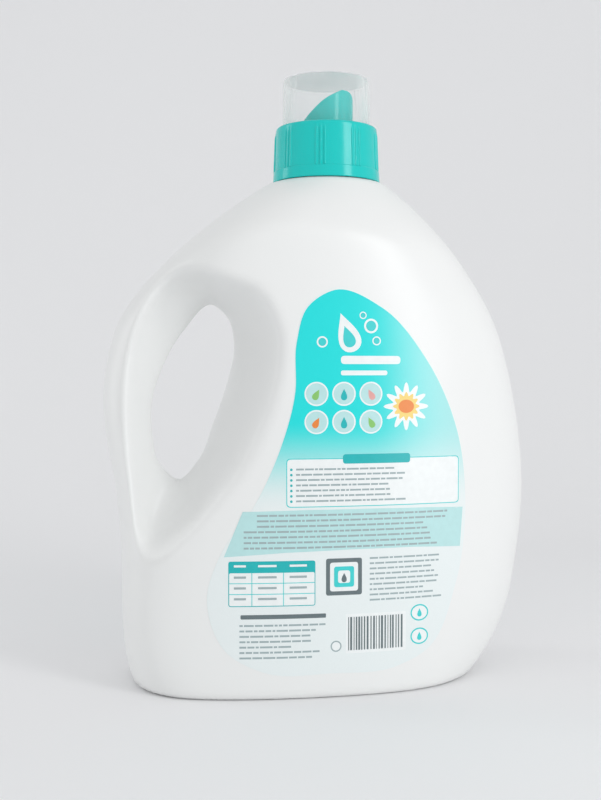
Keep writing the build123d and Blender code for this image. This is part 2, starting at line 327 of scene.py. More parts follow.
CUP_LOW, CUP_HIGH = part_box("measuring_cup")
COLLAR_LOW, COLLAR_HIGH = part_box("collar")
NECK_X = (CUP_LOW.x + CUP_HIGH.x) / 2 / MM
SHELL_DEPTH = 105.6
SHELL_TOP = 246.5
NECK_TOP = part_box("bottle")[1].z / MM
PANEL_RADIUS = 290.0
HOLE_CENTRE = (-66.0, 142.0)
PUSH_UP = 3.0

BORE_RADIUS, NECK_RADIUS = 22.0, 23.8
GRIP_RADIUS, BAND_HEIGHT, RIB_GROUPS, RIB_PITCH, RIB_TURN = 26.3, 5.6, 9, 2.1, 11.2
FLANGE, INSERT_WALL, BASIN_RADIUS, BASIN_DEPTH = 1.5, 1.2, 20.5, 17.0
SPOUT_RADIUS, SPOUT_HEIGHT, SPOUT_TURN, DRAIN_HEIGHT = 13.4, 29.5, -10.0, 6.0
CUP_MOUTH, CUP_END, CUP_DEPTH, FLUTE_TURN, FLUTE_STEP = 22.2, 21.8, 33.5, 30.5, 36

# Level by level up the shell, from the neck's axis: height, left reach, right reach, half depth, where
# the depth is greatest, and how blunt the left and the right end are.
LEVELS = np.array([
    (0.0, -98.0, 72.0, 52.8, -6.0, 2.8, 2.4), (12.0, -101.0, 83.0, 54.8, -5.0, 2.9, 2.2),
    (30.0, -102.6, 92.6, 55.8, -3.0, 3.0, 2.15), (60.0, -102.9, 99.4, 56.2, -1.0, 2.8, 2.15),
    (92.0, -105.4, 102.5, 56.4, -1.0, 2.2, 2.15), (118.0, -109.8, 100.8, 56.4, -4.0, 1.8, 2.2),
    (139.0, -111.7, 97.2, 56.4, -8.0, 1.7, 2.25), (158.0, -109.6, 92.0, 56.4, -14.0, 1.7, 2.45),
    (178.0, -103.6, 85.0, 56.0, -20.0, 1.8, 2.5), (198.0, -89.0, 73.4, 55.2, -26.0, 2.1, 2.5),
    (216.0, -70.5, 59.6, 52.6, -24.0, 2.4, 2.5), (232.0, -50.5, 45.8, 42.0, -12.0, 2.3, 2.2),
    (246.5, -29.0, 29.0, 28.6, 0.0, 2.0, 2.0),
])

# The finger hole's edge at the parting plane, the grip's ridge, and the dish's edge at the panels.
HOLE_RIM = [(-58.0, 185.5), (-50.0, 179.0), (-47.0, 166.0), (-50.5, 147.0), (-57.5, 127.0), (-65.0, 108.5),
            (-75.0, 99.0), (-84.0, 106.0), (-88.0, 122.0), (-88.0, 138.0), (-83.0, 154.0), (-72.0, 173.0)]
RIDGE_RIM = [(-62.0, 191.0), (-49.0, 182.5), (-43.0, 167.0), (-45.5, 147.5), (-52.5, 126.0), (-61.0, 106.0),
             (-74.0, 87.0), (-88.0, 79.0), (-98.0, 106.0), (-100.5, 138.0), (-97.0, 166.0), (-82.0, 189.0)]
PANEL_RIM = [(-62.0, 197.5), (-43.5, 190.5), (-32.8, 170.0), (-34.0, 147.0), (-41.0, 125.0), (-52.0, 103.0),
             (-71.0, 81.0), (-94.0, 61.0), (-122.0, 82.0), (-130.0, 130.0), (-124.0, 172.0), (-95.0, 203.0)]
RIDGE_AT = 17.0

LABEL_RIM = [(-7.7, 190.0), (15.0, 182.0), (37.0, 158.5), (54.0, 123.0), (58.3, 90.5), (53.0, 50.0),
             (39.0, 21.0), (23.0, 13.6), (-9.0, 12.0), (-41.5, 13.6), (-58.0, 23.0), (-66.6, 47.0),
             (-60.0, 69.0), (-46.0, 89.0), (-33.0, 117.0), (-26.4, 142.0), (-25.6, 166.0), (-20.5, 182.0)]

LEVEL_HEIGHTS = np.linspace(0, SHELL_TOP, 987)
LEVEL_SHAPES = through(LEVELS[:, 0], LEVELS[:, 1:], LEVEL_HEIGHTS).T


def reach_of(rim):
    """A rim as its distance from the hole's centre, read by direction."""
    offset = ring_through(rim, 720) - HOLE_CENTRE
    direction = np.arctan2(offset[:, 1], offset[:, 0])
    order = np.argsort(direction)
    return direction[order], np.hypot(offset[:, 0], offset[:, 1])[order]


RIM_REACHES = [reach_of(rim) for rim in (HOLE_RIM, RIDGE_RIM, PANEL_RIM)]


def blended_max(one, other, width):
    """The larger of two, with the corner between them rounded: max + (width - |difference|)^2 / (4
    width)."""
    return np.maximum(one, other) + np.maximum(width - np.abs(one - other), 0) ** 2 / (4 * width)


def superellipse(side, y, left, right, depth, blunt_left, blunt_right):
    """((|side| / reach) ** n + (|y| / depth) ** n) ** (1 / n) - 1, in millimetres of depth."""
    reach = np.where(side > 0, right, left)
    blunt = np.where(side > 0, blunt_right, blunt_left)
    return (((np.abs(side) / reach) ** blunt + (np.abs(y) / depth) ** blunt) ** (1 / blunt) - 1) * depth


def dish_edge(direction, y):
    """How far the dish's wall lies from the hole's centre: a cubic from the hole to the ridge, one on to
    the panel."""
    hole, ridge, panel = (np.interp(direction, d, r, period=2 * math.pi) for d, r in RIM_REACHES)
    near, far = RIDGE_AT, SHELL_DEPTH / 2 - RIDGE_AT
    rise, run = (ridge - hole) / near, (panel - ridge) / far
    slope = (rise * far + run * near) / (near + far)
    depth = np.abs(y)
    inner = hermite(np.clip(depth / near, 0, 1), hole, ridge, 0, slope, near)
    share = np.clip((depth - near) / far, 0, 1.15)
    outer = hermite(share, ridge, panel, slope, (3 * run - slope) / 2, far)
    return np.where(depth < near, inner, outer)


def shell_field(x, y, z, inset, floor, rounds):
    """How far a point is outside the shell: the rounded maximum of its level outline, the two panels, the
    base with its push-up, the top and the hollow of the handle."""
    crease, dish, heel = rounds
    left, right, depth, crown, blunt_left, blunt_right = (
        np.interp(z, LEVEL_HEIGHTS, column) for column in LEVEL_SHAPES)
    outline = superellipse(x - NECK_X - crown, y, crown - left, right - crown, depth, blunt_left,
                           blunt_right)
    panel = np.hypot(x, np.abs(y) + PANEL_RADIUS - SHELL_DEPTH / 2) - PANEL_RADIUS
    side = blended_max(outline, panel, crease)
    foot = -superellipse(x - NECK_X + 6, y, 92.0, 78.0, 52.8, 2.8, 2.4)
    base = PUSH_UP * smooth_step((foot - 9.0) / 7.0) + floor - z
    side_x, side_z = x - NECK_X - HOLE_CENTRE[0], z - HOLE_CENTRE[1]
    hollow = dish_edge(np.arctan2(side_z, side_x), y) - np.hypot(side_x, side_z)
    whole = blended_max(side, base + inset - floor, heel)
    whole = blended_max(whole, z - SHELL_TOP, 2.0)
    return blended_max(whole, hollow, dish) + inset


def shell_sections(around, across, inset, floor, rounds):
    """Grid on the shell's skin. The first parameter turns round the finger hole; the second turns round the
    core of that section, spaced evenly along its edge. Each point is where its ray leaves the material."""
    direction = np.linspace(-math.pi, math.pi, around, endpoint=False)[:, None]
    over, up = np.cos(direction), np.sin(direction)

    def field(radius, y):
        return shell_field(NECK_X + HOLE_CENTRE[0] + radius * over, y, HOLE_CENTRE[1] + radius * up,
                           inset, floor, rounds)

    hole = dish_edge(direction, 0.0)
    start = hole + 3.0 + inset
    edge = start.copy()
    inside = np.ones_like(start, bool)
    for _ in range(110):
        edge = np.where(inside, edge + 2.0, edge)
        inside &= field(edge, np.zeros_like(edge)) < 0
    core = (start + edge) / 2

    def leave(turn, low, stride, strides):
        """Walks each ray out until it is outside, then halves the last stride."""
        along, aside = np.cos(turn), np.sin(turn)
        high = low + stride
        walking = np.ones(np.broadcast(core, turn).shape, bool)
        low, high = np.broadcast_to(low, walking.shape).copy(), np.broadcast_to(high, walking.shape).copy()
        for _ in range(strides):
            walking &= field(core + high * along, high * aside) < 0
            low = np.where(walking, high, low)
            high = np.where(walking, high + stride, high)
        for _ in range(22):
            middle = (low + high) / 2
            within = field(core + middle * along, middle * aside) < 0
            low, high = np.where(within, middle, low), np.where(within, high, middle)
        return (low + high) / 2

    turn = np.linspace(0, 2 * math.pi, 301)[None, :]
    reach = leave(turn, 0.0, 3.0, 46)
    radius, y = core + reach * np.cos(turn), reach * np.sin(turn)
    run = np.cumsum(np.hypot(np.diff(radius, axis=1), np.diff(y, axis=1)), axis=1)
    run = np.concatenate([np.zeros((around, 1)), run], axis=1)
    share = np.linspace(0, 1, across, endpoint=False)
    turn = np.stack([np.interp(share * total[-1], total, turn[0]) for total in run])
    reach = leave(turn, 0.0, 3.0, 46)
    radius, y = core + reach * np.cos(turn), reach * np.sin(turn)
    points = np.stack([NECK_X + HOLE_CENTRE[0] + radius * over, y, HOLE_CENTRE[1] + radius * up], -1)
    points = points.reshape(-1, 3)
    return points, outward(points, knit(around, across, True, True))


def skin_depth(x, z, rounds):
    """Half thickness of the shell at a place on its side, found by halving."""
    low, high = np.full_like(x, 20.0), np.full_like(x, 60.0)
    for _ in range(24):
        middle = (low + high) / 2
        within = shell_field(x, middle, z, 0.0, 0.0, rounds) < 0
        low, high = np.where(within, middle, low), np.where(within, high, middle)
    return (low + high) / 2


def shell_rounds(scene):
    shell = scene.bottle_shell
    return shell.panel_crease / MM, shell.dish_edge / MM, shell.heel_round / MM


# ---------------------------------------------------------------- finishes

def blown_polyethylene(colour):
    """High-density polyethylene, extrusion blow moulded: satin, slightly waxy, with the fine orange peel of
    the sand-blasted mould and a thin parting line round the middle."""
    material, tree, shader, place = surface("blown white HDPE", {
        "Base Color": (*colour, 1), "IOR": 1.54, "Roughness": 0.34})
    # grain of a sand-blasted mould, 0.15 mm, drawn at 0.9 mm so that it shows
    grain = add(tree, "ShaderNodeTexNoise", {"Vector": place, "Scale": 1100.0, "Detail": 2.0})
    # slow waviness of the cooled wall, about 18 mm
    wave = add(tree, "ShaderNodeTexNoise", {"Vector": place, "Scale": 55.0, "Detail": 1.0})
    split = add(tree, "ShaderNodeSeparateXYZ", {"Vector": place})
    off = add(tree, "ShaderNodeMath", {0: split.outputs["Y"]}, operation="ABSOLUTE")
    line = add(tree, "ShaderNodeMapRange", {"Value": off.outputs[0], "From Min": 0.0, "From Max": 0.00035,
                                            "To Min": 1.0, "To Max": 0.0}, interpolation_type="SMOOTHSTEP")
    first = add(tree, "ShaderNodeBump", {"Height": wave.outputs[0], "Strength": 0.25, "Distance": 0.0004})
    second = add(tree, "ShaderNodeBump",
                 {"Height": grain.outputs[0], "Normal": first.outputs[0], "Strength": 0.12,
                                          "Distance": 0.00003})
    third = add(tree, "ShaderNodeBump",
                {"Height": line.outputs[0], "Normal": second.outputs[0], "Strength": 0.5,
                                         "Distance": 0.00012})
    tree.links.new(third.outputs[0], shader.inputs["Normal"])
    return material


def moulded_polypropylene(colour):
    """Coloured polypropylene, injection moulded in a polished tool: glossy, with faint flow marks in the
    gloss."""
    material, tree, shader, place = surface("moulded teal polypropylene", {
        "Base Color": (*colour, 1), "IOR": 1.5, "Specular IOR Level": 0.35, "Coat Weight": 0.2,
        "Coat Roughness": 0.08})
    # flow marks along the walls, 8 mm apart
    flow = add(tree, "ShaderNodeTexNoise", {"Vector": place, "Scale": 120.0, "Detail": 2.0})
    gloss = add(tree, "ShaderNodeMapRange", {"Value": flow.outputs[0], "From Min": 0.3, "From Max": 0.7,
                                             "To Min": 0.17, "To Max": 0.25})
    dimple = add(tree, "ShaderNodeBump", {"Height": flow.outputs[0], "Strength": 0.08, "Distance": 0.0002})
    tree.links.new(gloss.outputs[0], shader.inputs["Roughness"])
    tree.links.new(dimple.outputs[0], shader.inputs["Normal"])
    return material


def clear_polypropylene(colour):
    """Clarified polypropylene, injection moulded: clear, with a pale haze that thickens where the wall is
    seen edge on."""
    material, tree, shader, place = surface("clarified polypropylene", {
        "Base Color": (*colour, 1), "IOR": 1.49})
    # haze in clouds of 6 mm
    haze = add(tree, "ShaderNodeTexNoise", {"Vector": place, "Scale": 160.0, "Detail": 2.0})
    gloss = add(tree, "ShaderNodeMapRange", {"Value": haze.outputs[0], "From Min": 0.3, "From Max": 0.7,
                                             "To Min": 0.04, "To Max": 0.08})
    tree.links.new(gloss.outputs[0], shader.inputs["Roughness"])
    edge = add(tree, "ShaderNodeLayerWeight", {"Blend": 0.5})
    cover = add(tree, "ShaderNodeMapRange",
                {"Value": edge.outputs["Facing"], "From Min": 0.3, "From Max": 1.0,
                                             "To Min": 0.05, "To Max": 0.55})
    unseen = add(tree, "ShaderNodeBsdfTransparent", {"Color": (0.985, 0.99, 0.99, 1)})
    wall = add(tree, "ShaderNodeMixShader",
               {0: cover.outputs[0], 1: unseen.outputs[0], 2: shader.outputs[0]})
    tree.links.new(wall.outputs[0], tree.nodes["Material Output"].inputs["Surface"])
    return material


def foamed_polyethylene():
    """Foamed polyethylene sheet, die cut: matt and off-white with closed cells that show as fine pits."""
    material, tree, shader, place = surface("die-cut polyethylene foam", {"Roughness": 0.8})
    # cells of 0.5 mm
    cells = add(tree, "ShaderNodeTexVoronoi", {"Vector": place, "Scale": 2000.0})
    tint = add(tree, "ShaderNodeMix", {0: cells.outputs["Distance"], 6: (*linear("#F4F3EE"), 1),
                                       7: (*linear("#DDDCD5"), 1)}, data_type="RGBA")
    pits = add(tree, "ShaderNodeBump",
               {"Height": cells.outputs["Distance"], "Strength": 0.4, "Distance": 0.0001})
    tree.links.new(tint.outputs[2], shader.inputs["Base Color"])
    tree.links.new(pits.outputs[0], shader.inputs["Normal"])
    return material


def printed_film(deep, pale):
    """Polypropylene label film, gravure printed and varnished: an even gloss over a printed ground that runs
    from teal at the top to nearly white, with a pale band across the middle and a fine screen in the tint.
    Towards the right the teal is paled to half as a painted highlight, so it is deepest at the top and the left."""
    material, tree, shader, place = surface("gravure-printed label film", {"IOR": 1.5, "Roughness": 0.3})
    split = add(tree, "ShaderNodeSeparateXYZ", {"Vector": place})
    # the ground fades downwards over 40 mm, which is print, and to half its strength at the right, which is a
    # painted highlight
    down = add(tree, "ShaderNodeMapRange",
               {"Value": split.outputs["Z"], "From Min": 0.088, "From Max": 0.13},
               interpolation_type="SMOOTHSTEP")
    # painted highlight: the teal is paled to half its strength towards the right
    aside = add(tree, "ShaderNodeMapRange",
                {"Value": split.outputs["X"], "From Min": 0.012, "From Max": 0.06,
                                             "To Min": 1.0, "To Max": 0.5}, interpolation_type="SMOOTHSTEP")
    # the printed fade downwards times the painted highlight towards the right
    print_fade_and_painted_highlight = add(tree, "ShaderNodeMath", {0: down.outputs[0], 1: aside.outputs[0]}, operation="MULTIPLY")
    ground = add(tree, "ShaderNodeMix", {0: print_fade_and_painted_highlight.outputs[0], 6: (*pale, 1), 7: (*deep, 1)},
                 data_type="RGBA")
    # dots of the printing screen, 0.4 mm apart
    dots = add(tree, "ShaderNodeTexVoronoi", {"Vector": place, "Scale": 2500.0})
    screen = add(tree, "ShaderNodeMapRange",
                 {"Value": dots.outputs["Distance"], "From Min": 0.2, "From Max": 0.6,
                                              "To Min": 0.98, "To Max": 1.0})
    toned = add(tree, "ShaderNodeMix", {0: 1.0, 6: ground.outputs[2], 7: screen.outputs[0]},
                data_type="RGBA",
                blend_type="MULTIPLY")
    tree.links.new(toned.outputs[2], shader.inputs["Base Color"])
    return material


def ink(name, code):
    """Gravure ink under varnish: flat colour with a slightly uneven laydown, about 3 mm wide."""
    material, tree, shader, place = surface(name, {"IOR": 1.5, "Roughness": 0.3})
    mottle = add(tree, "ShaderNodeTexNoise", {"Vector": place, "Scale": 330.0, "Detail": 2.0})
    laydown = add(tree, "ShaderNodeMapRange", {"Value": mottle.outputs[0], "From Min": 0.3, "From Max": 0.7,
                                               "To Min": 0.96, "To Max": 1.0})
    tone = add(tree, "ShaderNodeMix", {0: 1.0, 6: (*linear(code), 1), 7: laydown.outputs[0]},
               data_type="RGBA",
               blend_type="MULTIPLY")
    tree.links.new(tone.outputs[2], shader.inputs["Base Color"])
    return material


RING_STEP = 4.5
INKS = {"white": "#F6FAFA", "teal": "#3FD6D6", "deep": "#12B9BC", "mist": "#BFE8E8", "grey": "#A3B4B7",
        "dark": "#68767A", "orange": "#F08A3C", "yellow": "#F9D97B", "leaf": "#8CCB6E", "rose": "#E9A9A4"}


# ---------------------------------------------------------------- the labels' print

def plate(outline, centre, rings):
    """Flat plate: its outline drawn in to its centre in rings, s * outline + (1 - s) * centre, front and
    back."""
    shares = np.linspace(1 / rings, 1, rings)[:, None, None]
    web = (np.asarray(centre) + shares * (outline - centre)).reshape(-1, 2)
    count, size = len(outline), rings * len(outline) + 1
    flat = np.vstack([[centre], web])
    around = np.arange(count)
    after = (around + 1) % count
    fan = np.stack([np.zeros_like(around), 1 + around, 1 + after, 1 + after], -1)
    front = np.vstack([fan, 1 + knit(rings, count, False, True)[:, ::-1]])
    back = turned_over(front) + size
    rim = 1 + (rings - 1) * count
    edge = np.stack([rim + around, rim + around + size, rim + after + size, rim + after], -1)
    layer = np.repeat([1.0, 0.0], size)
    return np.vstack([flat, flat]), layer, np.vstack([front, back, edge])


def disc(x, z, radius, lobes=0, depth=0.0, count=36, tall=1.0, lean=0.0):
    """Round, oval or lobed outline: radius * (1 + depth * cos(lobes * turn)), stretched and leant."""
    turn = np.linspace(0, -2 * math.pi, count, endpoint=False)
    reach = radius * (1 + depth * np.cos(lobes * turn))
    across, up = reach * np.cos(turn), reach * np.sin(turn) * tall
    return np.stack([x + across * math.cos(lean) - up * math.sin(lean),
                     z + across * math.sin(lean) + up * math.cos(lean)], -1)


def panel_box(left, right, low, high, corner, longest=5.0):
    """Box with rounded corners, its sides divided so that it bends with the panel."""
    corners = [(left, high), (right, high), (right, low), (left, low)]
    return refined(rounded(corners, corner, 5), longest)


def drop(x, z, size, lean=0.0, count=32):
    """Water drop: across = sin(turn) * sin(turn / 2) ** 1.5, up = cos(turn)."""
    turn = np.linspace(0, 2 * math.pi, count, endpoint=False)
    across, up = size * 0.8 * np.sin(turn) * np.sin(turn / 2) ** 1.5, size * np.cos(turn)
    return np.stack([x + across * math.cos(lean) - up * math.sin(lean),
                     z + across * math.sin(lean) + up * math.cos(lean)], -1)


def text_rows(left, right, top, count, pitch, height, seed, shortest=0.6):
    """Rows of small bars as long as words, which stand for small print without being writing."""
    chance = np.random.default_rng(seed)
    bars = []
    for row in range(count):
        end = left + (right - left) * chance.uniform(shortest, 1.0)
        x, z = left, top - row * pitch
        while x < end - 1.5:
            length = min(chance.uniform(1.2, 6.0), end - x)
            bars.append(np.array([(x, z), (x + length, z), (x + length, z - height), (x, z - height)]))
            x += length + 0.55
    return bars


def laid(art, outline, level, colour, centre=None):
    """Adds a field of ink to the art, with rings about 4.5 mm apart so that it bends with the panel."""
    middle = (outline.min(0) + outline.max(0)) / 2 if centre is None else np.array(centre)
    rings = 1 + int(np.abs(outline - middle).max() / RING_STEP)
    art.append((outline, middle, rings, level, colour))


def back_print():
    """What is printed on the back label, as (outline, centre, rings, layer, ink), in millimetres from the
    neck's axis and the base. All of it is plain fields, discs, drops and bars."""
    art = []
    lay = partial(laid, art)

    # emblem: a white drop among bubbles, and two plain bars under it
    lay(drop(-2.0, 170.5, 9.5, 0.35), 1, "white", (-2.0, 168.5))
    lay(drop(-1.6, 168.6, 5.2, 0.35), 2, "teal", (-1.6, 167.4))
    for x, z, size in ((9.5, 173.5, 3.4), (12.2, 166.6, 2.1), (-13.8, 166.0, 2.6), (5.6, 178.4, 1.7)):
        lay(disc(x, z, size), 1, "white")
        lay(disc(x, z, size * 0.72), 2, "teal")
    lay(panel_box(-5.0, 24.0, 155.8, 159.6, 1.8), 1, "white")
    lay(panel_box(-5.0, 17.5, 150.6, 152.8, 1.0), 1, "white")
    # flower of light with a warm heart, at the right of six small seals in two rows
    lay(disc(27.0, 136.0, 9.0, 12, 0.26, 96), 1, "white")
    lay(disc(27.0, 136.0, 5.8, 12, 0.16, 96), 2, "yellow")
    lay(disc(27.0, 136.0, 3.9, count=40, tall=0.8), 3, "orange")
    for index, mark in enumerate(("leaf", "deep", "rose", "orange", "deep", "leaf")):
        x, z = -16.5 + 13.0 * (index % 3), 142.0 - 13.0 * (index // 3)
        lay(disc(x, z, 5.6), 1, "white")
        lay(disc(x, z, 4.9), 2, "mist")
        lay(drop(x, z - 0.3, 2.7, 0.5 * (index % 3 - 1)), 3, mark)
    # rounded text box with a tab on its top edge
    lay(panel_box(-30.5, 54.6, 89.6, 112.2, 2.0), 1, "teal", (12.0, 101.0))
    lay(panel_box(-30.1, 54.2, 90.0, 111.8, 1.8), 2, "white", (12.0, 101.0))
    lay(panel_box(-4.0, 29.0, 109.6, 114.0, 1.4), 3, "deep")
    for bar in text_rows(-26.0, 52.0, 107.6, 7, 2.45, 0.8, 11, 0.55):
        lay(bar, 4, "grey")
    for row in range(7):
        lay(disc(-28.2, 107.1 - row * 2.45, 0.6, count=12), 4, "deep")
    # band of pale teal with darker rows
    corners = np.array([(-50.4, 87.8), (-20.0, 88.4), (10.0, 88.4), (40.0, 88.0), (56.8, 87.4),
                        (55.4, 68.6),
                        (30.0, 69.6), (0.0, 69.6), (-30.0, 68.8), (-59.0, 67.0)])
    lay(refined(corners, 4.0), 1, "mist", (0.0, 78.5))
    for bar in text_rows(-44.0, 52.0, 86.4, 3, 2.5, 0.85, 5, 0.85) + text_rows(-50.0, 50.0, 78.9, 4, 2.5,
                                                                               0.85, 8, 0.85):
        lay(bar, 2, "grey")
    # dosing table
    lay(panel_box(-57.0, -17.0, 44.0, 65.0, 1.2), 1, "deep")
    lay(panel_box(-56.6, -17.4, 44.4, 59.6, 0.8), 2, "white")
    for level in (54.6, 49.6):
        lay(panel_box(-56.6, -17.4, level, level + 0.35, 0.1), 3, "teal")
    for across in (-46.5, -32.0):
        lay(panel_box(across, across + 0.35, 44.4, 59.6, 0.1), 3, "teal")
    for level in (62.8, 57.6, 52.6, 47.6):
        for start, wide in ((-54.5, 5.5), (-43.5, 8.5), (-29.0, 8.0)):
            lay(panel_box(start, start + wide, level - 0.5, level + 0.5, 0.2), 4,
                "white" if level > 60 else "grey")
    # square seal of nested frames with a drop
    for step, colour in enumerate(("dark", "white", "teal", "white")):
        half = 8.6 - 1.9 * step
        lay(panel_box(-3.4 - half, -3.4 + half, 57.0 - half, 57.0 + half, 1.2), 1 + step, colour)
    lay(drop(-3.4, 56.6, 2.2), 5, "dark")
    # rows at the right of it, then rows under the table
    for bar in text_rows(9.0, 47.0, 65.6, 9, 2.45, 0.8, 21, 0.75):
        lay(bar, 1, "grey")
    lay(panel_box(-51.5, -12.0, 38.2, 40.2, 0.5), 1, "dark")
    for bar in text_rows(-52.0, -10.0, 35.6, 7, 2.5, 0.85, 31, 0.45):
        lay(bar, 1, "grey")
    # striped field, ovals and a small round seal
    lay(panel_box(-2.6, 27.0, 21.0, 39.4, 0.4), 1, "white")
    chance = np.random.default_rng(3)
    x = -1.4
    while x < 25.6:
        wide = chance.uniform(0.35, 1.1)
        lay(panel_box(x, x + wide, 22.4, 38.0, 0.1, 8.0), 2, "dark")
        x += wide + chance.uniform(0.4, 0.95)
    for level in (38.2, 27.0):
        lay(disc(34.0, level, 4.6, tall=0.86), 1, "teal")
        lay(disc(34.0, level, 3.9, tall=0.84), 2, "white")
        lay(drop(34.0, level, 2.0), 3, "teal")
    lay(disc(-7.2, 24.6, 2.6), 1, "grey")
    lay(disc(-7.2, 24.6, 2.0), 2, "white")
    return art


def front_print():
    """What is printed on the front label, which is plainer: a large drop, bubbles, waves of teal and two
    bars."""
    art = []
    lay = partial(laid, art)

    lay(drop(6.0, 140.0, 20.0, -0.3, 64), 1, "white", (6.0, 136.0))
    lay(drop(6.4, 136.4, 11.0, -0.3, 48), 2, "deep", (6.4, 133.6))
    for x, z, size in ((-10.5, 158.0, 4.2), (-13.0, 127.0, 3.0), (26.5, 150.0, 3.6), (29.5, 121.0, 5.2)):
        lay(disc(x, z, size), 1, "white")
        lay(disc(x, z, size * 0.74), 2, "teal")
    lay(panel_box(-24.0, 44.0, 94.0, 101.0, 3.0), 1, "white")
    lay(panel_box(-16.0, 36.0, 87.0, 90.0, 1.4), 1, "teal")
    for level, depth in ((62.0, "mist"), (50.0, "teal")):
        x = np.linspace(-56.0, 48.0, 40)
        crest = level + 3.5 * np.sin(x / 13.0)
        band = np.vstack([np.stack([x, crest], -1), np.stack([x, crest - 8.0], -1)[::-1]])
        lay(refined(band, 4.0), 1, depth, (0.0, level - 4.0))
    return art


def film_label(name, side, art, rounds, settings):
    """One label: a film on the panel and its print in thin layers, all following the panel's curve."""
    film, layer_height = settings.film / MM, settings.ink / MM
    rim = ring_through(LABEL_RIM, 260)
    shapes = [(rim, np.array([-5.0, 95.0]), 26, 0, None)] + art
    names = list(INKS)
    points, faces, inks, lifts, total = [], [], [], [], 0
    for outline, centre, rings, level, colour in shapes:
        flat, layer, quads = plate(outline, centre, rings)
        top = film + level * layer_height
        lifts.append(np.where(layer > 0, top, -0.05 if level == 0 else top - layer_height - 0.02))
        points.append(flat)
        faces.append(quads + total)
        inks.append(np.full(len(quads), 0 if colour is None else 1 + names.index(colour)))
        total += len(flat)
    flat, lift = np.vstack(points), np.concatenate(lifts)
    x = NECK_X + flat[:, 0]
    y = side * (np.minimum(skin_depth(x, flat[:, 1], rounds), SHELL_DEPTH / 2) + lift)
    solid = np.stack([x, y, flat[:, 1]], -1)
    quads = np.vstack(faces)
    first = quads[:len(faces[0])]
    fixed = outward(solid, first)
    if not np.array_equal(first, fixed):
        quads = turned_over(quads)
    ground = printed_film(settings.deep, settings.pale)
    materials = [ground] + [bpy.data.materials.get(f"{c} gravure ink") or ink(f"{c} gravure ink", INKS[c])
                            for c in names]
    return make(name, solid, quads, materials, np.concatenate(inks), 60.0)


# ---------------------------------------------------------------- operators

class BOTTLE_OT_shell(bpy.types.Operator):
    """Builds the hollow blow-moulded shell with its handle, base and threaded neck"""
    bl_idname = "bottle.shell"
    bl_label = "Blown shell"

    def execute(self, context):
        shell, closure = context.scene.bottle_shell, context.scene.bottle_closure
        rounds = shell_rounds(context.scene)
        resin = blown_polyethylene(shell.resin)
        points, faces = shell_sections(shell.around, shell.across, 0.0, 0.0, rounds)
        skin = make("blown_shell", points, faces, [resin], crisp=50.0)
        points, faces = shell_sections(120, 80, shell.wall / MM, 0.6, rounds)
        cavity = make("cavity", points, faces, [resin], crisp=50.0)
        # neck: radius = wall radius + thread height * bump(height - pitch * turns), two turns
        angles = np.linspace(0, 2 * math.pi, 144, endpoint=False)
        pitch, proud = closure.thread_pitch / MM, closure.thread_proud / MM
        sides = np.linspace(SHELL_TOP - 2.4, NECK_TOP, 62)
        outer = np.stack([np.full_like(sides, NECK_RADIUS), sides], -1)
        outer[-2:, 0] = (23.7, 23.3)
        outline = np.vstack([[0, sides[0]], outer, [BORE_RADIUS, NECK_TOP], [0, NECK_TOP]])

        points, faces = plugged(outline, angles)
        x, y, z = (points - (NECK_X, 0, 0)).T
        turns = np.arctan2(y, x) / (2 * math.pi)
        phase = (z - (SHELL_TOP + 3.5) - pitch * turns) / pitch
        near = np.abs(phase - np.round(phase)) * pitch
        ends = smooth_step((z - SHELL_TOP - 2.0) / 2.0) * smooth_step((NECK_TOP - 2.0 - z) / 2.0)
        ridge = proud * smooth_step(1 - near / 1.2) * ends * (np.hypot(x, y) > 23.75)
        scale = 1 + ridge / np.maximum(np.hypot(x, y), 1.0)
        neck = make("neck", np.stack([NECK_X + x * scale, y * scale, z], -1), faces, [resin])
        bore_outline = np.array([(0, SHELL_TOP - 2.0), (BORE_RADIUS, SHELL_TOP - 2.0),
                                 (BORE_RADIUS, NECK_TOP + 2), (0, NECK_TOP + 2)])
        bore = make("bore", *plugged(bore_outline, angles), [resin])
        fused(skin, [neck], "UNION", 50.0)
        fused(skin, [cavity, bore], "DIFFERENCE", 50.0)
        placed(skin, "bottle", "white_hdpe", "bottle")
        return {"FINISHED"}


class BOTTLE_OT_labels(bpy.types.Operator):
    """Wraps a printed film label on each panel"""
    bl_idname = "bottle.labels"
    bl_label = "Printed labels"

    def execute(self, context):
        rounds = shell_rounds(context.scene)
        settings = context.scene.bottle_label
        for name, side, art in (("back_label", -1, back_print()), ("front_label", 1, front_print())):
            label = film_label(f"{name}_film", side, art, rounds, settings)
            placed(label, "bottle", "label_film", name)
        return {"FINISHED"}


